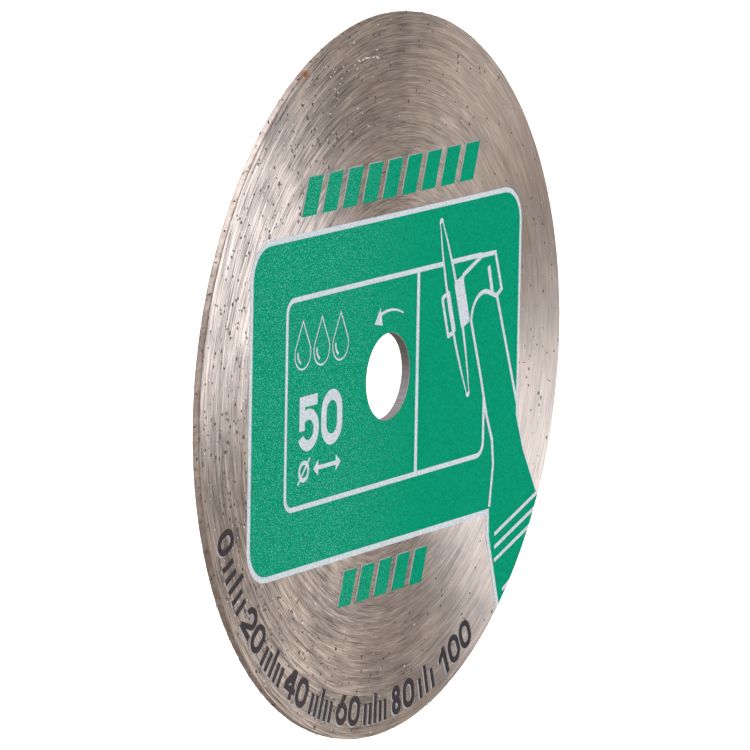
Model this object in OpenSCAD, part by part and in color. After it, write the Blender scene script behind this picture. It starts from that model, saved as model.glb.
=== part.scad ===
// Small continuous-rim diamond blade for a hand-held cutter, in millimetres.
// A thin steel core carries a sintered ring of diamond grit, and one face is
// printed in coats: white first, then green or black over it.
// Every piece is drawn flat in XY with the printed face up, and stand() turns it
// onto its edge, so the bore lies along Y and the printed face looks along -Y.
// The origin is the middle of the bore, half way through the thickness.

/* [Blade] */
// Outer diameter of the blade, over the bond of the rim
blade_d = 50; // [40:0.5:80]
// Thickness of the ground blade
blade_t = 0.6; // [0.5:0.05:1.5]
// Diameter of the arbor bore
bore_d = 6; // [4:0.5:10]
// Depth of the diamond ring, from the edge inwards
rim_w = 7.5; // [4:0.25:10]
// Rounding of the cutting edge, each side
edge_round = 0.12; // [0.05:0.01:0.2]

/* [Joint of core and rim] */
// Thickness of the tongue round the core
tongue_t = 0.2; // [0.15:0.05:0.4]
// How far the tongue reaches into the rim
tongue_w = 0.8; // [0.4:0.1:1.5]

/* [Diamond grit] */
// Edge length of one crystal
grit = 0.26; // [0.15:0.01:0.35]
// How far a crystal stands out of the bond
grit_out = 0.03; // [0.01:0.01:0.08]
// Crystals on each face, before those below the print are left out
face_grit_count = 120; // [40:1:160]
// Crystals that show round the edge
edge_grit_count = 72; // [24:1:90]
// Bare bond left between the core's tongue and the face crystals
grit_border = 0.5; // [0.4:0.1:1]

/* [Print] */
// Thickness of one coat of ink
coat_t = 0.02; // [0.01:0.005:0.04]
// White that shows round the green panel and the grip
white_margin = 0.38; // [0.2:0.02:0.8]
// How far the white coat is out of register with the small marks
misfit = 0.16; // [0.05:0.01:0.3]
// Bare metal left between the print and the bore
bore_margin = 0.05; // [0.02:0.01:0.5]
// Bare metal left inside the rounding of the cutting edge
print_edge = 0.1; // [0.05:0.05:0.5]

/* [Panel] */
// Width of the green panel
panel_w = 36.8; // [30:0.1:38]
// Height of the green panel
panel_h = 22.3; // [18:0.1:24]
// Corner radius of the green panel
panel_r = 2.2; // [1:0.1:4]
// Width of the white frame line's outline
frame_w = 27.9; // [24:0.1:28.5]
// Height of the white frame line's outline
frame_h = 14.6; // [12:0.1:15]
// Corner radius of the frame line
frame_r = 1.1; // [0.8:0.1:3]
// Width of the frame line
frame_line = 0.36; // [0.2:0.02:0.5]
// Width of the divider
divider_line = 0.44; // [0.2:0.02:0.6]
// Place of the divider across the frame
divider_x = 4.07; // [3.6:0.01:6]

/* [Marks] */
// Width of one water drop
drop_w = 2.25; // [1.6:0.05:2.4]
// Height of one water drop
drop_h = 3.5; // [2.8:0.1:3.6]
// Line width of the drops
fine_line = 0.14; // [0.1:0.01:0.3]
// Height of the large figures
size_h = 3.8; // [3:0.1:4]
// Gap from the bore to the middle of the rotation arrow
arrow_gap = 1.4; // [1:0.1:2]
// Height of the row of green blocks above the panel
top_row_h = 2.6; // [2:0.1:3]
// Length of the row of green blocks above the panel
top_row_w = 24.5; // [18:0.5:26]
// Height of the row of green blocks below the panel
low_row_h = 2.4; // [2:0.1:3]
// Length of the row of green blocks below the panel
low_row_w = 12.4; // [8:0.2:14]

/* [Arc scale] */
// Distance of the scale's base line from the blade's edge
scale_inset = 0.95; // [0.7:0.05:1.5]
// Height of the scale's figures
scale_h = 2.1; // [1.4:0.05:2.3]
// Step from one figure of the scale to the next, in degrees
scale_step = 19; // [16:1:22]

/* [Hidden] */
$fn = 96;

blade_r = blade_d / 2;
bore_r = bore_d / 2;
core_r = blade_r - rim_w;
face_z = blade_t / 2;
print_r = blade_r - edge_round - print_edge;

// The panel and its frame sit a little off the bore's centre, as printed.
panel_at = [0.1, -0.26];
frame_at = [-0.03, -0.25];
// The white coat lies a little to the left of the green one and below it.
white_shift = [-0.05, -0.02];
// What the white coat needs round the green one, whichever way it is shifted
white_reach = white_margin + norm(white_shift);
frame_left = frame_at[0] - frame_w / 2;
frame_top = frame_at[1] + frame_h / 2;

steel = [0.62, 0.59, 0.56];
bond = [0.52, 0.48, 0.44];
crystal = [0.20, 0.18, 0.16];
white = [0.86, 0.88, 0.92];
green = [0.02, 0.60, 0.44];
black = [0.19, 0.19, 0.21];

// ---------------------------------------------------------------- helpers

module stand() {
    rotate([90, 0, 0]) children();
}

// A coat of ink on the printed face: layer 0 is on the metal, layer 1 over it.
module coat(layer) {
    stand() translate([0, 0, face_z + layer * coat_t]) linear_extrude(coat_t) children();
}

// Keeps a print inside the flat part of the face and off the bore.
module on_face() {
    difference() {
        intersection() {
            circle(print_r);
            children();
        }
        circle(bore_r + bore_margin);
    }
}

// A rectangle with round corners, about its centre.
module rounded(w, h, r) {
    square([w - 2 * r, h], center = true);
    square([w, h - 2 * r], center = true);
    for (x = [-1, 1], y = [-1, 1])
        translate([x * (w / 2 - r), y * (h / 2 - r)]) circle(r);
}

function polar(r, a) = [r * cos(a), r * sin(a)];
function backwards(list) = [for (i = [len(list) - 1 : -1 : 0]) list[i]];

// The unit vector to the left of the way from p to q.
function left_of(p, q) = [p[1] - q[1], q[0] - p[0]] / norm(q - p);

// How far point i of a line's left edge lies from the point, for a line 2 wide.
function mitre(points, i) =
    let (
        last = len(points) - 1,
        a = left_of(points[max(i - 1, 0)], points[max(i, 1)]),
        b = left_of(points[min(i, last - 1)], points[min(i + 1, last)])
    )
    (a + b) / (1 + a * b);

// A line of width s through all the points, with sharp corners and square ends.
module line(points, s) {
    half = [for (i = [0 : len(points) - 1]) mitre(points, i) * s / 2];
    polygon(concat(points + half, backwards(points - half)));
}

// The sector from angle a to angle b, as a polygon that reaches past radius r.
module sector(r, a, b) {
    steps = ceil((b - a) / 45);
    polygon(concat([[0, 0]], [for (i = [0 : steps]) polar(1.5 * r, a + (b - a) * i / steps)]));
}

// An arc of middle radius r and width s, from angle a to angle b.
module arc(r, s, a, b) {
    intersection() {
        difference() {
            circle(r + s / 2);
            circle(r - s / 2);
        }
        sector(r + s, a, b);
    }
}

// ---------------------------------------------------------------- figures

// A plain figure of height h standing on y = 0, its left side at x = 0.
function stroke_of(h) = 0.2 * h;
function figure_w(h) = 0.76 * h;

module figure(n, h) {
    s = stroke_of(h);
    w = figure_w(h);
    bowl = (w - s) / 2;
    if (n == 0) {
        difference() {
            stadium(w, h);
            translate([s, s]) stadium(w - 2 * s, h - 2 * s);
        }
    }
    if (n == 1) {
        translate([0.62 * w, 0]) square([s, h]);
        polygon([[0.7 * w, h], [0.7 * w, h - 1.2 * s], [0.22 * w, h - 2.3 * s], [0.22 * w, h - 1.2 * s]]);
    }
    if (n == 2) {
        top = [w / 2, h - w / 2];
        turn = -40;
        translate(top) arc(bowl, s, turn, 180);
        polygon([[0, s], [1.8 * s, s], top + polar(bowl + s / 2, turn), top + polar(bowl - s / 2, turn)]);
        square([w, s]);
    }
    if (n == 4) {
        translate([0.55 * w, 0]) square([s, h]);
        translate([0, 0.22 * h]) square([w, s]);
        polygon([[0, 0.22 * h + s], [0.55 * w, h], [0.55 * w + s / 2, h],
                 [0.55 * w + s / 2, h - 1.9 * s], [1.15 * s, 0.22 * h + s]]);
    }
    if (n == 5) {
        translate([0.08 * w, h - s]) square([0.84 * w, s]);
        translate([0.08 * w, w / 2]) square([s, h - w / 2]);
        translate([w / 2, w / 2]) arc(bowl, s, -155, 130);
    }
    if (n == 6) {
        translate([w / 2, w / 2]) arc(bowl, s, 0, 360);
        polygon([[0, w / 2], [s, w / 2], [0.82 * w, h], [0.5 * w, h]]);
    }
    if (n == 8) {
        low = 0.3 * h;
        high = 0.27 * h;
        translate([w / 2, low]) arc(low - s / 2, s, 0, 360);
        translate([w / 2, h - high]) arc(high - s / 2, s, 0, 360);
    }
}

// A strip w wide and h high with half-round ends.
module stadium(w, h) {
    translate([0, w / 2]) square([w, h - w]);
    for (y = [w / 2, h - w / 2]) translate([w / 2, y]) circle(w / 2);
}

// Several figures in a row, centred on x = 0.
module figures(list, h) {
    gap = 0.07 * h;
    pitch = figure_w(h) + gap;
    for (i = [0 : len(list) - 1])
        translate([(i - len(list) / 2) * pitch + gap / 2, 0]) figure(list[i], h);
}

// ---------------------------------------------------------------- outlines

module panel_outline(margin = 0) {
    translate(panel_at) rounded(panel_w + 2 * margin, panel_h + 2 * margin, panel_r + margin);
}

// The grip of the pictured cutter runs off the panel to the blade's edge.
grip_left = [[14.8, -10.4], [14.9, -13.4], [16.7, -19.0], [19.4, -24.6]];
grip_right = [[25.0, -16.7], [21.9, -11.5], [19.6, -7.8], [18.1, -4.2]];

module grip_outline(margin = 0) {
    left = [for (p = grip_left) p - [margin, 0]];
    right = [for (p = grip_right) p + [margin / 2, 0]];
    polygon(concat(left, right));
}

// The frame runs behind the pictured cutter.
module frame_lines() {
    difference() {
        translate(frame_at) {
            difference() {
                rounded(frame_w, frame_h, frame_r);
                rounded(frame_w - 2 * frame_line, frame_h - 2 * frame_line, frame_r - frame_line);
            }
            translate([divider_x - frame_at[0] - divider_line / 2, -frame_h / 2])
                square([divider_line, frame_h]);
        }
        cutter_silhouette();
    }
}

// A drop of round radius r about the origin, with its tip at height tip.
module drop(r, tip) {
    lean = acos(r / tip);
    circle(r);
    polygon([[0, tip], polar(r, 90 + lean), [0, 0], polar(r, 90 - lean)]);
}

module drop_mark() {
    r = drop_w / 2;
    tip = drop_h - r;
    inner = r - fine_line;
    difference() {
        drop(r, tip);
        drop(inner, tip * inner / r);
    }
    arc(0.58 * r, 1.5 * fine_line, 165, 250);
}

drop_pitch = 2.53;
drops_left = frame_left + 2.3;
drops_base = frame_top - 5.08;

module drops() {
    for (i = [0 : 2])
        translate([drops_left + i * drop_pitch, drops_base + drop_w / 2]) drop_mark();
}

// The size in large figures, with a diameter sign and a dimension line below.
size_at = [frame_left + 4.75, frame_at[1] - 3.38];
sign_r = 0.75;
sign_line = 0.3;
sign_gap = 0.58;

module size_mark() {
    translate(size_at) figures([5, 0], size_h);
    translate(size_at - [2.1, sign_gap + sign_r]) {
        arc(sign_r - sign_line / 2, sign_line, 0, 360);
        line([[-0.8, -0.85], [0.8, 0.85]], 0.22);
    }
    translate(size_at - [0, sign_gap + sign_r]) dimension_line(-0.85, 2.9, 0.6);
}

// A dimension line from x = a to x = b, with an arrow head at each end.
module dimension_line(a, b, head) {
    line([[a + head, 0], [b - head, 0]], sign_line);
    polygon([[a, 0], [a + 1.2 * head, head], [a + 1.2 * head, -head]]);
    polygon([[b, 0], [b - 1.2 * head, -head], [b - 1.2 * head, head]]);
}

// The arrow that shows which way the blade turns: a crescent that thins towards
// its tail, and a head.
arrow_from = 64;
arrow_to = 108;

module rotation_arrow() {
    r = bore_r + arrow_gap;
    intersection() {
        difference() {
            circle(r + 0.28);
            translate(polar(0.3, arrow_from - 20)) circle(r - 0.12);
        }
        sector(r + 1, arrow_from, arrow_to);
    }
    translate(polar(r + 0.02, arrow_to - 3)) rotate(arrow_to + 8)
        polygon([[-0.72, 0], [0.62, -0.25], [0, 0.98]]);
}

// A generic hand-held cutter, its blade seen edge-on between two flanges. Each
// list below runs along one line of the drawing.
picture_line = 0.34;
lens_at = [9.28, 3.57];
lens_tilt = 18.6;
lens_l = 13.8;
lens_w = 1.75;
lens_tip_r = 0.3;
head_line = [[10.3, 5.2], [10.45, 5.75], [13.15, 6.8], [15.05, 6.8], [16.05, 4.1], [15.3, 3.7]];
slot_line = [[14.1, 5.95], [14.7, 4.0]];
handle_left = [
    [11.65, 2.42], [13.2, -1.7], [14.2, -4.7], [15.05, -6.5], [15.3, -8.3], [14.85, -11.3]
];
handle_right = [[15.3, 3.9], [18.75, -4.65]];
neck_line = [[14.3, 4.05], [15.45, 3.65]];

// The shape two equal arcs enclose, l long and w wide, with blunt tips.
module lens(l, w, tip_r) {
    full = l + 1.6;
    r = (full * full + w * w) / (4 * w);
    intersection() {
        translate([w / 2 - r, 0]) circle(r);
        translate([r - w / 2, 0]) circle(r);
        square([w, l - 1.5 * tip_r], center = true);
    }
    for (y = [-1, 1]) translate([0, y * (l / 2 - tip_r)]) circle(tip_r);
}

module blade_lens(inset) {
    lens(lens_l - 2 * inset, lens_w - 2 * inset, max(lens_tip_r - inset, 0.06));
}

module cutter_picture() {
    translate(lens_at) rotate(lens_tilt) {
        difference() {
            blade_lens(0);
            blade_lens(picture_line);
        }
        translate([-0.95, -0.05]) flange(1.3, 3.3);
        translate([1.08, -0.05]) rounded(1.34, 3.6, 0.25);
    }
    line(head_line, picture_line);
    line(slot_line, picture_line + 0.1);
    line(handle_left, picture_line);
    line(handle_right, picture_line);
    neck();
}

// What the pictured cutter hides of the lines behind it.
module cutter_silhouette() {
    translate(lens_at) rotate(lens_tilt) blade_lens(0);
    polygon(concat(head_line, handle_right, [[18.05, -12]], backwards(handle_left)));
}

module flange(w, h) {
    difference() {
        rounded(w, h, 0.3);
        rounded(w - 2 * picture_line, h - 2 * picture_line, 0.12);
    }
}

// The round neck where the grip meets the head.
module neck() {
    translate([13.55, 2.35]) arc(1.85, picture_line, 60, 184);
    line(neck_line, picture_line);
}

// Three raised bands across the grip, and one more near the blade's edge.
band_pitch = 0.95;
band_rise = 18.5;
band_line = 0.3;
band_from = [15.7, -13.4];
last_band = [[17.0, -17.6], [24.5, -14.2]];

module grip_bands() {
    for (i = [0 : 2]) {
        start = band_from - [0, i * band_pitch];
        line([start, start + polar(8, band_rise)], band_line);
    }
    line(last_band, band_line);
}

// A row of n slanted blocks, w long and h high over all, centred on the origin.
module block_row(n, w, h) {
    lean = 0.35 * h;
    gap = 0.32 * h;
    block = (w - lean - (n - 1) * gap) / n;
    for (i = [0 : n - 1])
        translate([-w / 2 + i * (block + gap), -h / 2])
            polygon([[0, 0], [block, 0], [block + lean, h], [lean, h]]);
}

top_row_gap = 1.46;
low_row_gap = 1.3;
top_row_at = [0.2, panel_at[1] + panel_h / 2 + top_row_gap + top_row_h / 2];
low_row_at = [-0.2, panel_at[1] - panel_h / 2 - low_row_gap - low_row_h / 2];
top_row_count = 9;
low_row_count = 5;

module top_row() {
    translate(top_row_at) block_row(top_row_count, top_row_w, top_row_h);
}

module low_row() {
    translate(low_row_at) block_row(low_row_count, low_row_w, low_row_h);
}

// A plain scale along the lower left edge: figures with graduation marks between.
scale_from = 201;
scale_marks = [[0], [2, 0], [4, 0], [6, 0], [8, 0], [1, 0, 0]];
scale_tick_w = 0.36;
// Least turn from one graduation mark to the next
scale_tick_turn = 1.7;
// Degrees that half of each figure of a label takes up, and the space after a label
figure_turn = 2.2;
label_space = 0.8;

module arc_scale() {
    difference() {
        for (i = [0 : len(scale_marks) - 1]) {
            a = scale_from + i * scale_step;
            on_arc(a) figures(scale_marks[i], scale_h);
            if (i < len(scale_marks) - 1) ticks_after(a, len(scale_marks[i]), len(scale_marks[i + 1]));
        }
        panel_outline(white_reach);
    }
}

// Children stand on the scale's base line at angle a, with their tops inwards.
module on_arc(a) {
    rotate(a - 270) translate([0, scale_inset - blade_r]) children();
}

// Graduation marks between two labels, clear of both; the middle one is longest.
module ticks_after(a, left_n, right_n) {
    from = a + figure_turn * left_n + label_space;
    to = a + scale_step - figure_turn * right_n - label_space;
    pairs = floor(((to - from) / scale_tick_turn - 1) / 2);
    for (i = [-pairs : pairs]) {
        tall = i == 0 ? scale_h : 0.7 * scale_h;
        on_arc((from + to) / 2 + i * (to - from) / (2 * pairs + 1))
            translate([-scale_tick_w / 2, 0]) square([scale_tick_w, tall]);
    }
}

// Small marks are printed on a white coat that shows on one side of them.
module underlaid(shift) {
    children();
    translate(shift) children();
}

// ---------------------------------------------------------------- crystals

// Crystals sit along a spiral that spreads them evenly over the ring.
golden = 137.508;

// A turned crystal reaches up to this share of its edge length from its centre, and
// stands on its bed at close to this share of it.
crystal_reach = 0.87;
crystal_half = 0.7;

ring_inner = core_r + tongue_w + grit_border;
ring_outer = blade_r + grit_out - (crystal_half + 2 * crystal_reach) * grit;

// Where crystal i of n lies, counted outwards along the spiral.
function ring_r(i, n) =
    sqrt(pow(ring_inner, 2) + (pow(ring_outer, 2) - pow(ring_inner, 2)) * (i + 0.5) / n);

// One cube-shaped crystal, turned so that no two neighbours lie the same way.
module crystal_at(i) {
    rotate([35 + 13 * (i % 5), 20 + 17 * (i % 4), 29 * i]) cube(grit, center = true);
}

// The print hides what lies below it, so crystals show on the bare metal only.
function below(p, at, w, h) =
    abs(p[0] - at[0]) < w / 2 + grit && abs(p[1] - at[1]) < h / 2 + grit;

function below_scale(p) =
    let (turn = (atan2(p[1], p[0]) + 360) % 360, last = len(scale_marks) - 1)
    norm(p) > blade_r - scale_inset - scale_h - grit
        && turn > scale_from - 2 * figure_turn
        && turn < scale_from + last * scale_step + 4 * figure_turn;

// How far p lies to the left of the way from a to b.
function side_of(p, a, b) = (p - a) * left_of(a, b);

function below_grip(p) =
    let (clear = white_reach + 3 * grit)
    p[1] < 0 && side_of(p, grip_left[1], grip_left[3]) > -clear
        && side_of(p, grip_right[0], grip_right[3]) > -clear;

function bare(p) = !(
    below(p, panel_at, panel_w + 2 * white_reach, panel_h + 2 * white_reach)
    || below(p, top_row_at, top_row_w + 2 * misfit, top_row_h + misfit)
    || below(p, low_row_at, low_row_w + 2 * misfit, low_row_h + misfit)
    || below_scale(p) || below_grip(p)
);

// Both faces share one spiral, so that a crystal of one never meets one of the other:
// the even crystals show on the printed face, the odd ones on the back.
module face_crystals(first) {
    for (i = [first : 2 : 2 * face_grit_count - 1]) {
        r = ring_r(i, 2 * face_grit_count);
        if (first == 1 || bare(polar(r, i * golden)))
            rotate(i * golden)
                translate([r, 0, face_z + grit_out - crystal_half * grit]) crystal_at(i);
    }
}

module printed_face_crystals() {
    face_crystals(0);
}

module back_face_crystals() {
    mirror([0, 0, 1]) face_crystals(1);
}

module edge_crystals() {
    for (i = [0 : edge_grit_count - 1])
        rotate(i * 360 / edge_grit_count)
            translate([blade_r + grit_out - crystal_half * grit, 0, edge_wander(i)])
                crystal_at(i);
}

// Crystals at the edge sit on no fixed line; this moves them about the middle.
function edge_wander(i) = (face_z - edge_round - grit / 2) * sin(i * golden);

// ---------------------------------------------------------------- sub-parts

// The ring's section, in (radius, height): round at the edge, grooved inside.
module rim_section() {
    difference() {
        union() {
            translate([core_r, -face_z]) square([rim_w - edge_round, blade_t]);
            translate([core_r, -face_z + edge_round]) square([rim_w, blade_t - 2 * edge_round]);
            for (z = [-1, 1])
                translate([blade_r - edge_round, z * (face_z - edge_round)]) circle(edge_round);
        }
        tongue_section();
    }
}

module tongue_section() {
    translate([core_r, -tongue_t / 2]) square([tongue_w, tongue_t]);
}

module core() {
    color(steel) stand() difference() {
        union() {
            cylinder(h = blade_t, r = core_r, center = true);
            rotate_extrude() tongue_section();
        }
        cylinder(h = blade_t + 1, r = bore_r, center = true);
    }
}

module diamond_rim() {
    color(bond) stand() difference() {
        rotate_extrude() rim_section();
        printed_face_crystals();
        back_face_crystals();
        edge_crystals();
    }
}

module front_grit() {
    color(crystal) stand() printed_face_crystals();
}

module back_grit() {
    color(crystal) stand() back_face_crystals();
}

module edge_grit() {
    color(crystal) stand() edge_crystals();
}

module panel_white_coat() {
    color(white) coat(0) on_face() translate(white_shift) {
        panel_outline(white_margin);
        grip_outline(white_margin);
    }
}

module panel_green_coat() {
    color(green) coat(1) on_face() difference() {
        union() {
            panel_outline();
            grip_outline();
        }
        frame_lines();
        drops();
        size_mark();
        rotation_arrow();
        cutter_picture();
        grip_bands();
    }
}

module top_row_white_coat() {
    color(white) coat(0) on_face() underlaid([-misfit, misfit / 2]) top_row();
}

module top_row_green_coat() {
    color(green) coat(1) on_face() top_row();
}

module low_row_white_coat() {
    color(white) coat(0) on_face() underlaid([-misfit, misfit / 2]) low_row();
}

module low_row_green_coat() {
    color(green) coat(1) on_face() low_row();
}

module scale_white_coat() {
    color(white) coat(0) on_face() underlaid([-misfit, -misfit / 2]) arc_scale();
}

module scale_black_coat() {
    color(black) coat(1) on_face() arc_scale();
}

core();
diamond_rim();
front_grit();
back_grit();
edge_grit();
panel_white_coat();
panel_green_coat();
top_row_white_coat();
top_row_green_coat();
low_row_white_coat();
low_row_green_coat();
scale_white_coat();
scale_black_coat();
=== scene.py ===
"""The looks of a small diamond blade: ground metal, grit and printed coats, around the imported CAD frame.

Everything is in metres in the frame of the CAD: the bore lies along Y, the printed face looks along -Y.
"""

import math
import random

import bpy
from mathutils import Matrix, Vector, noise


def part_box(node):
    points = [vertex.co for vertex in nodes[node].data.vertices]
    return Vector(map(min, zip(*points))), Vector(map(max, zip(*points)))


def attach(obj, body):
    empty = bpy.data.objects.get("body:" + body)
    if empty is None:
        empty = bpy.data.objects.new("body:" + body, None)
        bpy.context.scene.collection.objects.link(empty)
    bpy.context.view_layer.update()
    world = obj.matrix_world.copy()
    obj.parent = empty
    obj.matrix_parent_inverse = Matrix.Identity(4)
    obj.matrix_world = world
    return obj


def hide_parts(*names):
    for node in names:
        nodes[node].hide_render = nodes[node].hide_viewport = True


MM = 0.001

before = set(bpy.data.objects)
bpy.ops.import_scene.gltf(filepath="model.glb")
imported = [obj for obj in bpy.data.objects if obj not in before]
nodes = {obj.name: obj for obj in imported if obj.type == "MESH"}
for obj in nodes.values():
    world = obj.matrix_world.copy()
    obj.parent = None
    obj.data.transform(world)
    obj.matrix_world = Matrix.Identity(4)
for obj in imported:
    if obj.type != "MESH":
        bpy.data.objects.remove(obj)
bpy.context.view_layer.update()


# ---------------------------------------------------------------- sizes from the frame

_, core_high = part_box("core")
_, rim_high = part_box("diamond_rim")
FACE_Y = core_high.y                      # half the blade's thickness
BLADE_R = rim_high.x
RING_DEPTH = 7.5 * MM
CORE_R = BLADE_R - RING_DEPTH             # where the diamond ring starts
EDGE_ROUND = 0.12 * MM


# ---------------------------------------------------------------- shader helpers


def add(tree, kind, inputs=None, **settings):
    """A new shader node. inputs maps a socket's name or number to a value, or to the socket that feeds it."""
    node = tree.nodes.new(kind)
    for name, value in settings.items():
        setattr(node, name, value)
    for key, value in (inputs or {}).items():
        if isinstance(value, bpy.types.NodeSocket):
            tree.links.new(value, node.inputs[key])
        else:
            node.inputs[key].default_value = value
    return node


def math_node(tree, operation, *values):
    return add(tree, "ShaderNodeMath", dict(enumerate(values)), operation=operation).outputs[0]


def vector_node(tree, operation, *values, output=0):
    return add(tree, "ShaderNodeVectorMath", dict(enumerate(values)), operation=operation).outputs[output]


def ramp(tree, value, low, high, to_low=0.0, to_high=1.0):
    """value moved from the range low..high to to_low..to_high, and kept inside it."""
    keys = {"Value": value, "From Min": low, "From Max": high, "To Min": to_low, "To Max": to_high}
    return add(tree, "ShaderNodeMapRange", keys, clamp=True).outputs["Result"]


def noise_node(tree, vector, scale, detail=2.0, roughness=0.5):
    keys = {"Vector": vector, "Scale": scale, "Detail": detail, "Roughness": roughness}
    return add(tree, "ShaderNodeTexNoise", keys).outputs["Fac"]


def mix_color(tree, factor, a, b, blend_type="MIX"):
    node = add(tree, "ShaderNodeMix", data_type="RGBA", blend_type=blend_type, clamp_factor=True)
    for socket, value in ((node.inputs[0], factor), (node.inputs[6], a), (node.inputs[7], b)):
        if isinstance(value, bpy.types.NodeSocket):
            tree.links.new(value, socket)
        else:
            socket.default_value = value
    return node.outputs[2]


def new_material(name):
    material = bpy.data.materials.new(name)
    material.use_nodes = True
    tree = material.node_tree
    tree.nodes.clear()
    shader = add(tree, "ShaderNodeBsdfPrincipled")
    add(tree, "ShaderNodeOutputMaterial", {"Surface": shader.outputs[0]})
    return material, tree, shader


def place(tree):
    """Where a point lies in the blade's own frame, in millimetres."""
    coordinate = add(tree, "ShaderNodeTexCoord").outputs["Object"]
    return vector_node(tree, "MULTIPLY", coordinate, (1000.0, 1000.0, 1000.0))


def around(tree, point, centre=(0.0, 0.0)):
    """(unit vector from the centre, distance from it in mm), both measured in the plane of the face."""
    flat = vector_node(tree, "MULTIPLY", point, (1.0, 0.0, 1.0))
    away = vector_node(tree, "SUBTRACT", flat, (centre[0], 0.0, centre[1]))
    return vector_node(tree, "NORMALIZE", away), vector_node(tree, "LENGTH", away, output="Value")


def streaks(tree, point, centre, across, along, detail, rough=0.6):
    """Noise drawn out into arcs around a centre: across and along are its cells per mm and per radian."""
    unit, radius = around(tree, point, centre)
    bent = vector_node(tree, "SCALE", unit)
    bent.node.inputs["Scale"].default_value = along
    height = add(tree, "ShaderNodeCombineXYZ", {"Y": math_node(tree, "MULTIPLY", radius, across)}).outputs[0]
    return noise_node(tree, vector_node(tree, "ADD", bent, height), 1.0, detail, rough)


def facing_axis(tree):
    """How squarely the surface faces along the bore: 1 on the faces, 0 on the edge and the bore's wall."""
    normal = add(tree, "ShaderNodeNewGeometry").outputs["Normal"]
    axial = add(tree, "ShaderNodeSeparateXYZ", {0: normal}).outputs["Y"]
    return math_node(tree, "ABSOLUTE", axial)


# ---------------------------------------------------------------- materials


DULL_BOND = (0.44, 0.375, 0.345, 1.0)
CLEAN_BOND = (0.60, 0.54, 0.51, 1.0)
PITTED_BOND = (0.13, 0.10, 0.09, 1.0)
RUST = (0.42, 0.14, 0.05, 1.0)
SCRAPED = (0.95, 0.93, 0.91, 1.0)
BORE_WALL = (0.54, 0.52, 0.55, 1.0)

# Places in mm, in the blade's own frame
RUST_AT = (-11.8, -0.25, 21.9)
SCRATCH_AT = (-3.4, 22.2)                 # the middle of one rough bright scratch, as (x, z)
SCRATCH_HALF = 1.6
ANISOTROPY = 0.9


def single_scratches(tree, point, centre, across, along):
    """Only the crests of a long, thin noise."""
    return ramp(tree, streaks(tree, point, centre, across, along, 1.0), 0.60, 0.70)


def stroke_relief(tree, point, mixed, patches, deep):
    """How much lighter or darker the grinding makes each point, as a share of the metal's tone."""
    sweeps = streaks(tree, point, (-0.8, 1.4), 3.4, 4.0, 2.0)
    bands = streaks(tree, point, (0.6, 0.8), 1.5, 5.0, 3.0)
    broad = math_node(tree, "MULTIPLY_ADD", patches, 0.5, math_node(tree, "MULTIPLY", bands, 0.5))
    bright = single_scratches(tree, point, (-1.5, -0.8), 10.0, 7.0)
    relief = ramp(tree, mixed, 0.39, 0.61, -0.54, 0.48)
    relief = math_node(tree, "ADD", relief, ramp(tree, sweeps, 0.36, 0.64, -0.12, 0.11))
    relief = math_node(tree, "ADD", relief, ramp(tree, broad, 0.39, 0.61, -0.25, 0.20))
    relief = math_node(tree, "MULTIPLY_ADD", deep, -0.22, relief)
    return math_node(tree, "MULTIPLY_ADD", bright, 0.26, relief)


def bright_scratch(tree, point, grains):
    """1 on one jagged, broken scratch across the top of the printed face, 0 elsewhere."""
    spot = add(tree, "ShaderNodeSeparateXYZ", {0: point}).outputs
    jag = math_node(tree, "MULTIPLY_ADD", noise_node(tree, point, 1.6, 2.0), 0.9, SCRATCH_AT[1] - 0.45)
    aside = math_node(tree, "ABSOLUTE", math_node(tree, "SUBTRACT", spot["Z"], jag))
    away = math_node(tree, "ABSOLUTE", math_node(tree, "SUBTRACT", spot["X"], SCRATCH_AT[0]))
    mask = math_node(tree, "MULTIPLY", ramp(tree, aside, 0.02, 0.08, 1.0, 0.0),
                     ramp(tree, away, SCRATCH_HALF - 0.3, SCRATCH_HALF, 1.0, 0.0))
    mask = math_node(tree, "MULTIPLY", mask, ramp(tree, grains, 0.42, 0.52))
    return math_node(tree, "MULTIPLY", mask, ramp(tree, spot["Y"], -0.1, 0.1, 1.0, 0.0))


def wear(tree, shader, point, color, rough, height):
    """The ring's marks: a dull, pitted edge, a rust spot and a bright scratch.

    Gives the colour, the roughness and the height with the marks in them.
    """
    grains = noise_node(tree, point, 4.5, 4.0, 0.65)
    blots = noise_node(tree, point, 1.1, 2.0, 0.5)
    ragged = math_node(tree, "MULTIPLY_ADD", grains, 0.8, facing_axis(tree))
    worn = ramp(tree, ragged, 0.95, 1.25, 1.0, 0.0)
    dull = mix_color(tree, ramp(tree, blots, 0.38, 0.62), DULL_BOND, CLEAN_BOND)
    pitted = mix_color(tree, ramp(tree, grains, 0.57, 0.70), dull, PITTED_BOND)
    color = mix_color(tree, worn, color, pitted)

    from_rust = vector_node(tree, "DISTANCE", point, RUST_AT, output="Value")
    from_rust = math_node(tree, "MULTIPLY_ADD", grains, 0.9, from_rust)
    color = mix_color(tree, ramp(tree, from_rust, 0.6, 1.0, 0.75, 0.0), color, RUST)

    scratch = bright_scratch(tree, point, grains)
    color = mix_color(tree, scratch, color, SCRAPED)
    tree.links.new(ramp(tree, scratch, 0.0, 1.0, 1.0, 0.0), shader.inputs["Metallic"])

    rough = add(tree, "ShaderNodeMix", {0: worn, 2: rough, 3: 0.42}).outputs[0]
    height = math_node(tree, "MULTIPLY_ADD", math_node(tree, "MULTIPLY", grains, worn), 1.5, height)
    tree.links.new(ramp(tree, worn, 0.0, 1.0, ANISOTROPY, 0.0), shader.inputs["Anisotropic"])
    return color, rough, height


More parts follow.
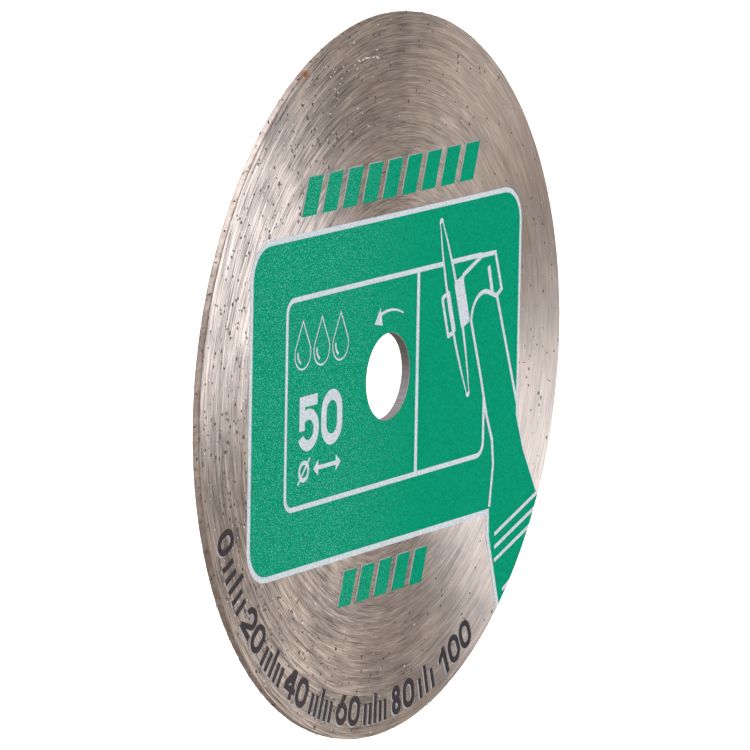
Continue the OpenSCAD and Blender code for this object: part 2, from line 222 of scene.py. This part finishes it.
def ground_metal(name, tone, worn_edge=False):
    """Metal ground flat by a turning wheel: scratches run round the bore in several crossing sets."""
    material, tree, shader = new_material(name)
    point = place(tree)
    unit, _ = around(tree, point)
    short = streaks(tree, point, (0.0, 0.0), 10.5, 9.0, 2.0, 0.75)
    long = streaks(tree, point, (0.5, -0.4), 12.5, 3.0, 2.0, 0.8)
    crossing = streaks(tree, point, (2.6, -1.8), 8.0, 6.0, 2.0, 0.7)
    mixed = math_node(tree, "MULTIPLY", short, 0.36)
    mixed = math_node(tree, "MULTIPLY_ADD", long, 0.42, mixed)
    mixed = math_node(tree, "MULTIPLY_ADD", crossing, 0.22, mixed)
    patches = noise_node(tree, point, 0.30, 3.0, 0.6)
    deep = single_scratches(tree, point, (1.2, 2.4), 9.0, 5.0)

    # the strokes stand out more on the left of the print than on its right
    relief = stroke_relief(tree, point, mixed, patches, deep)
    across = add(tree, "ShaderNodeSeparateXYZ", {0: point}).outputs["X"]
    shade = math_node(tree, "MULTIPLY_ADD", relief, ramp(tree, across, -12.0, 18.0, 1.0, 0.42), 1.0)

    # the bore's wall is broached along its axis
    wall = ramp(tree, noise_node(tree, unit, 26.0, 3.0, 0.6), 0.3, 0.7, 0.36, 0.66)
    side = ramp(tree, facing_axis(tree), 0.5, 0.85, 1.0, 0.0)
    shade = add(tree, "ShaderNodeMix", {0: side, 2: shade, 3: wall}).outputs[0]
    warmer = (tone[0] * 0.99, tone[1] * 0.97, tone[2] * 0.95, 1.0)
    warm = mix_color(tree, ramp(tree, patches, 0.35, 0.65), (*tone, 1.0), warmer)
    warm = mix_color(tree, side, warm, BORE_WALL)
    grey = add(tree, "ShaderNodeCombineColor", {0: shade, 1: shade, 2: shade}).outputs[0]
    color = mix_color(tree, 1.0, warm, grey, "MULTIPLY")
    rough = ramp(tree, crossing, 0.3, 0.7, 0.46, 0.56)
    height = math_node(tree, "MULTIPLY_ADD", deep, -0.5, mixed)

    if worn_edge:
        color, rough, height = wear(tree, shader, point, color, rough, height)
    else:
        shader.inputs["Anisotropic"].default_value = ANISOTROPY
        shader.inputs["Metallic"].default_value = 1.0

    tree.links.new(color, shader.inputs["Base Color"])
    tree.links.new(rough, shader.inputs["Roughness"])
    tree.links.new(unit, shader.inputs["Tangent"])
    bump = add(tree, "ShaderNodeBump", {"Height": height, "Strength": 0.5, "Distance": 0.010 * MM})
    tree.links.new(bump.outputs[0], shader.inputs["Normal"])
    return material


def crystal(name, color, rough):
    """Diamond grit as it looks in the bond: small and glassy."""
    material, tree, shader = new_material(name)
    point = place(tree)
    tint = mix_color(tree, ramp(tree, noise_node(tree, point, 1.6, 1.0), 0.35, 0.65),
                     (*[c * 0.7 for c in color], 1.0), (*[min(1.0, c * 1.5) for c in color], 1.0))
    tree.links.new(tint, shader.inputs["Base Color"])
    tree.links.new(ramp(tree, noise_node(tree, point, 3.0), 0.3, 0.7, rough * 0.7, rough * 1.3),
                   shader.inputs["Roughness"])
    shader.inputs["IOR"].default_value = 2.0
    return material


def ink(name, color, crest_glint_color, crest_glint_share, sheen):
    """A printed coat: a little mottled, with a fine grain whose crests are painted paler on the print's left,
    as painted glints where the light's highlight falls.
    """
    material, tree, shader = new_material(name)
    point = place(tree)
    unit, _ = around(tree, point)
    across = add(tree, "ShaderNodeSeparateXYZ", {0: point}).outputs["X"]
    follow = streaks(tree, point, (0.0, 0.0), 5.0, 40.0, 2.0)
    fine = vector_node(tree, "MULTIPLY", point, (1.0, 1.0, 1.3))
    grain = noise_node(tree, fine, 8.4, 1.0, 0.6)
    mottle = noise_node(tree, point, 7.0, 1.0, 0.6)
    cloud = noise_node(tree, point, 0.35, 2.0)
    even = mix_color(tree, ramp(tree, cloud, 0.3, 0.7), (*color, 1.0), (*[c * 0.95 for c in color], 1.0))
    even = mix_color(tree, ramp(tree, mottle, 0.46, 0.60), even, (*[c * 0.78 for c in color], 1.0))
    # painted highlight: the grain's crests turn paler towards the left, standing in for glints of the light
    painted_glints = math_node(tree, "MULTIPLY", ramp(tree, grain, 0.56, 0.66, 0.0, crest_glint_share),
                      ramp(tree, across, -7.0, 4.0, 1.0, 0.08))
    tree.links.new(mix_color(tree, painted_glints, even, (*crest_glint_color, 1.0)), shader.inputs["Base Color"])
    tree.links.new(ramp(tree, follow, 0.3, 0.7, 0.40, 0.52), shader.inputs["Roughness"])
    shader.inputs["Specular IOR Level"].default_value = sheen
    shader.inputs["Anisotropic"].default_value = 0.6
    tree.links.new(unit, shader.inputs["Tangent"])
    bump = add(tree, "ShaderNodeBump", {"Height": grain, "Strength": 0.5, "Distance": 0.008 * MM})
    tree.links.new(bump.outputs[0], shader.inputs["Normal"])
    return material


STEEL = ground_metal("ground_steel", (0.62, 0.57, 0.54))
BOND = ground_metal("ground_bond", (0.61, 0.555, 0.52), True)
GRIT = crystal("diamond_grit", (0.035, 0.030, 0.027), 0.25)
PIT = crystal("grit_pits", (0.030, 0.025, 0.022), 0.45)
# painted glints: near-white grit specks stand in for glints of the light, partly the pale grit itself
GLINT = crystal("grit_glints", (0.95, 0.95, 0.93), 0.3)
WHITE_INK = ink("white_ink", (0.75, 0.845, 0.92), (0.60, 0.66, 0.72), 0.40, 0.2)
THIN_WHITE_INK = ink("thin_white_ink", (0.50, 0.50, 0.51), (0.42, 0.40, 0.40), 0.6, 0.3)
GREEN_INK = ink("green_ink", (0.0005, 0.364, 0.204), (0.24, 0.74, 0.56), 0.54, 0.01)
BLACK_INK = ink("black_ink", (0.030, 0.026, 0.034), (0.11, 0.085, 0.095), 0.8, 0.25)

CAD_LOOKS = {
    "core": STEEL,
    "front_grit": GRIT,
    "back_grit": GRIT,
    "edge_grit": GRIT,
    "panel_white_coat": WHITE_INK,
    "panel_green_coat": GREEN_INK,
    "top_row_white_coat": THIN_WHITE_INK,
    "top_row_green_coat": GREEN_INK,
    "low_row_white_coat": THIN_WHITE_INK,
    "low_row_green_coat": GREEN_INK,
    "scale_white_coat": THIN_WHITE_INK,
    "scale_black_coat": BLACK_INK,
}

for node_name, material in CAD_LOOKS.items():
    slots = nodes[node_name].data.materials
    if not slots:
        slots.append(material)
    for index in range(len(slots)):
        slots[index] = material


# ---------------------------------------------------------------- pieces


def new_piece(name, points, faces, materials):
    """A mesh object that rides on the blade's one body."""
    mesh = bpy.data.meshes.new(name)
    mesh.from_pydata(points, [], faces)
    for material in materials:
        mesh.materials.append(material)
    mesh.validate()
    piece = bpy.data.objects.new(name, mesh)
    bpy.context.scene.collection.objects.link(piece)
    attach(piece, "root")
    return piece


RIM_TURNS = 1080       # steps round the rim
ROUND_STEPS = 4        # steps over each rounded arris
EDGE_STEPS = 6         # steps across the edge between the arrises
ARRIS_CHIP = 0.05 * MM
EDGE_RELIEF = 0.02 * MM
SHOULDERS = ((0.35 * MM, 0.0), (0.12 * MM, 0.15))      # two rows on a face, as (distance in, wear)


def rim_profile():
    """The ring's section as (radius, y, wear), from the back inner corner over the edge to the front one.

    wear is how much of the uneven edge a point takes: 0 on the flat faces, 1 on the edge.
    """
    flat_r = BLADE_R - EDGE_ROUND
    back = [(CORE_R, FACE_Y, 0.0)] + [(flat_r - inside, FACE_Y, wear) for inside, wear in SHOULDERS]
    for step in range(ROUND_STEPS + 1):
        turn = math.radians(90 * step / ROUND_STEPS)
        back.append((flat_r + EDGE_ROUND * math.sin(turn), FACE_Y - EDGE_ROUND * (1 - math.cos(turn)), 1.0))
    half_edge = FACE_Y - EDGE_ROUND
    edge = [(BLADE_R, half_edge * (1 - 2 * step / EDGE_STEPS), 1.0) for step in range(1, EDGE_STEPS)]
    return back + edge + [(r, -y, wear) for r, y, wear in reversed(back)]


def worn_rim():
    """The diamond ring with the uneven, chipped arrises that sintering and dressing leave."""
    profile = rim_profile()
    rows = len(profile)
    points, faces = [], []
    for step in range(RIM_TURNS):
        turn = 2 * math.pi * step / RIM_TURNS
        out = Vector((math.cos(turn), 0.0, math.sin(turn)))
        for radius, y, wear in profile:
            spot = out * (radius / MM) + Vector((0.0, y / MM, 0.0))
            long_wave = 0.5 + 0.5 * noise.noise(spot * Vector((0.8, 3.0, 0.8)))
            chip = max(0.0, noise.noise(spot * Vector((2.6, 1.5, 2.6)) + Vector((7.0, 3.0, 1.0))) - 0.12)
            rough = 0.5 + 0.5 * noise.noise(spot * 6.0)
            near_arris = min(1.0, abs(y) / FACE_Y) ** 2
            inward = wear * (EDGE_RELIEF * rough + ARRIS_CHIP * near_arris * (0.5 * long_wave + 1.6 * chip))
            points.append(out * (radius - inward) + Vector((0.0, y * (1 - 0.02 * wear * rough), 0.0)))
    for step in range(RIM_TURNS):
        here, there = step * rows, (step + 1) % RIM_TURNS * rows
        for row in range(rows - 1):
            faces.append((here + row, there + row, there + row + 1, here + row + 1))
        faces.append((here + rows - 1, there + rows - 1, there, here))
    rim = new_piece("worn_diamond_rim", points, faces, (BOND,))
    for face in rim.data.polygons:
        face.use_smooth = 2 <= face.index % rows <= rows - 4
    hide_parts("diamond_rim")


SPECK_SIDES = 6
SPECK_SKIRT = 0.004 * MM                  # how far its rim reaches under the surface


def speck(points, faces, centre, along, across, up, length, width, rise, pick):
    """One exposed crystal or pit: a low irregular cone with its skirt just under the surface."""
    first = len(points)
    for side in range(SPECK_SIDES):
        turn = 2 * math.pi * (side + 0.3 * pick.random()) / SPECK_SIDES
        reach = 0.75 + 0.5 * pick.random()
        ahead = along * (length * reach * math.cos(turn))
        aside = across * (width * reach * math.sin(turn))
        points.append(centre + ahead + aside - up * SPECK_SKIRT)
    points.append(centre + up * rise + along * (0.3 * width * (pick.random() - 0.5)))
    for side in range(SPECK_SIDES):
        faces.append((first + side, first + (side + 1) % SPECK_SIDES, first + SPECK_SIDES))


FACE_PITS = 1900
FACE_GLINTS = 1000
SPECK_RISE = 0.011 * MM
THINNING_WIDTH = 12 * MM                    # over this width, left of the bore, the specks thin out
THINNED_SHARE = 0.82                       # the share of specks missing on its right


def face_specks(name, side, count, small, spread, material, seed):
    """Specks of grit over one face of the ring, fewer towards the core. side is -1 at the printed face.

    Fewer show towards the right of the printed face; for the near-white specks this keeps the painted glints
    on the left, where the light's highlight falls.
    """
    pick = random.Random(seed)
    points, faces = [], []
    up = Vector((0.0, side, 0.0))
    inner, outer = CORE_R - 0.6 * MM, BLADE_R - 0.3 * MM
    for _ in range(count):
        share = pick.random() ** 0.85
        radius = math.sqrt(inner ** 2 + (outer ** 2 - inner ** 2) * share)
        turn = 2 * math.pi * pick.random()
        out = Vector((math.cos(turn), 0.0, math.sin(turn)))
        # fewer specks towards the right of the printed face, which keeps the painted glints where the light
        # falls
        thinned = min(1.0, max(0.0, out.x * radius / THINNING_WIDTH + 1.0))
        if side < 0 and pick.random() < THINNED_SHARE * thinned:
            continue
        along = Vector((-math.sin(turn), 0.0, math.cos(turn)))
        width = MM * (small + spread * pick.random() ** 1.6)
        length = width * (0.8 + 0.6 * pick.random())
        if side < 0:
            speck(points, faces, out * radius + up * FACE_Y, along, out, up, length, width, SPECK_RISE, pick)
        else:
            speck(points, faces, out * radius + up * FACE_Y, out, along, up, width, length, SPECK_RISE, pick)
    new_piece(name, points, faces, (material,))


EDGE_SPECKS = 420
EDGE_SPECK_RISE = 0.02 * MM
EDGE_SPECK_SINK = 0.03 * MM               # the worn edge lies a little inside the blade's radius


def edge_specks():
    """Specks of grit in the cutting edge."""
    pick = random.Random(31)
    axial = Vector((0.0, 1.0, 0.0))
    points, faces = [], []
    reach = FACE_Y - 0.5 * EDGE_ROUND
    for _ in range(EDGE_SPECKS):
        turn = 2 * math.pi * pick.random()
        out = Vector((math.cos(turn), 0.0, math.sin(turn)))
        along = Vector((-math.sin(turn), 0.0, math.cos(turn)))
        width = MM * (0.035 + 0.05 * pick.random() ** 2)
        y = reach * (2 * pick.random() - 1)
        centre = out * (BLADE_R - EDGE_SPECK_SINK) + Vector((0.0, y, 0.0))
        length = width * (1 + pick.random())
        speck(points, faces, centre, axial, along, out, width, length, EDGE_SPECK_RISE, pick)
    new_piece("edge_specks", points, faces, (PIT,))


worn_rim()
face_specks("front_pits", -1.0, FACE_PITS, 0.052, 0.135, PIT, 11)
face_specks("back_pits", 1.0, FACE_PITS, 0.052, 0.135, PIT, 23)
# the near-white specks are painted glints, partly pale grit
face_specks("front_glints", -1.0, FACE_GLINTS, 0.044, 0.050, GLINT, 5)
face_specks("back_glints", 1.0, FACE_GLINTS // 2, 0.044, 0.046, GLINT, 6)
edge_specks()


# ---------------------------------------------------------------- stage, light and camera


def stage_floor():
    """A plain white floor, lit from within so that it stays even, as on a light table."""
    mesh = bpy.data.meshes.new("floor")
    half, low = 6.0, -0.12
    corners = [(-half, -half, low), (half, -half, low), (half, half, low), (-half, half, low)]
    mesh.from_pydata(corners, [], [(0, 1, 2, 3)])
    material, tree, shader = new_material("pale_floor")
    shader.inputs["Base Color"].default_value = (0.9, 0.9, 0.9, 1.0)
    shader.inputs["Roughness"].default_value = 0.9
    shader.inputs["Emission Color"].default_value = (1.0, 1.0, 1.0, 1.0)
    shader.inputs["Emission Strength"].default_value = 1.0
    mesh.materials.append(material)
    floor = bpy.data.objects.new("floor", mesh)
    floor.visible_glossy = False
    floor.visible_diffuse = False
    bpy.context.scene.collection.objects.link(floor)


def softbox(name, direction, distance, width, height, radiance, color):
    """A soft light that looks at the blade from a direction. radiance is what its surface gives off."""
    light = bpy.data.lights.new(name, "AREA")
    light.shape = "RECTANGLE"
    light.size, light.size_y = width, height
    light.energy = radiance * math.pi * width * height
    light.color = color
    lamp = bpy.data.objects.new(name, light)
    away = Vector(direction).normalized()
    lamp.location = away * distance
    lamp.rotation_euler = away.to_track_quat("Z", "Y").to_euler()
    bpy.context.scene.collection.objects.link(lamp)


def world_light(color, strength):
    world = bpy.data.worlds.new("studio")
    world.use_nodes = True
    background = world.node_tree.nodes["Background"]
    background.inputs["Color"].default_value = (*color, 1.0)
    background.inputs["Strength"].default_value = strength
    bpy.context.scene.world = world


def camera():
    """Looks along the blade from its left, a little from above, through a long lens."""
    right = Vector((0.49403, -0.86927, 0.01710))
    up = Vector((0.13218, 0.09453, 0.98671))
    back = Vector((-0.85934, -0.48521, 0.16160))
    data = bpy.data.cameras.new("camera")
    data.sensor_width = 36.0
    data.lens = 342.8
    data.clip_start, data.clip_end = 0.01, 50.0
    eye = bpy.data.objects.new("camera", data)
    stands_at = Matrix.Translation((-0.42016, -0.23623 - FACE_Y, 0.07901))
    eye.matrix_world = stands_at @ Matrix((right, up, back)).transposed().to_4x4()
    bpy.context.scene.collection.objects.link(eye)
    bpy.context.scene.camera = eye


stage_floor()
softbox("key", (0.24, -0.95, 0.17), 1.0, 0.62, 0.70, 4.9, (0.91, 0.945, 1.0))
softbox("low_fill", (0.55, -0.55, -0.63), 1.0, 0.66, 0.70, 1.15, (1.0, 0.955, 0.93))
softbox("top_back", (-0.30, 0.50, 0.75), 1.0, 1.2, 0.9, 1.8, (1.0, 0.98, 0.97))
softbox("left_back", (-0.86, 0.49, -0.16), 1.0, 0.7, 0.9, 0.45, (1.0, 0.96, 0.92))
world_light((0.36, 0.31, 0.275), 1.08)
camera()
bpy.context.scene.view_settings.view_transform = "Standard"
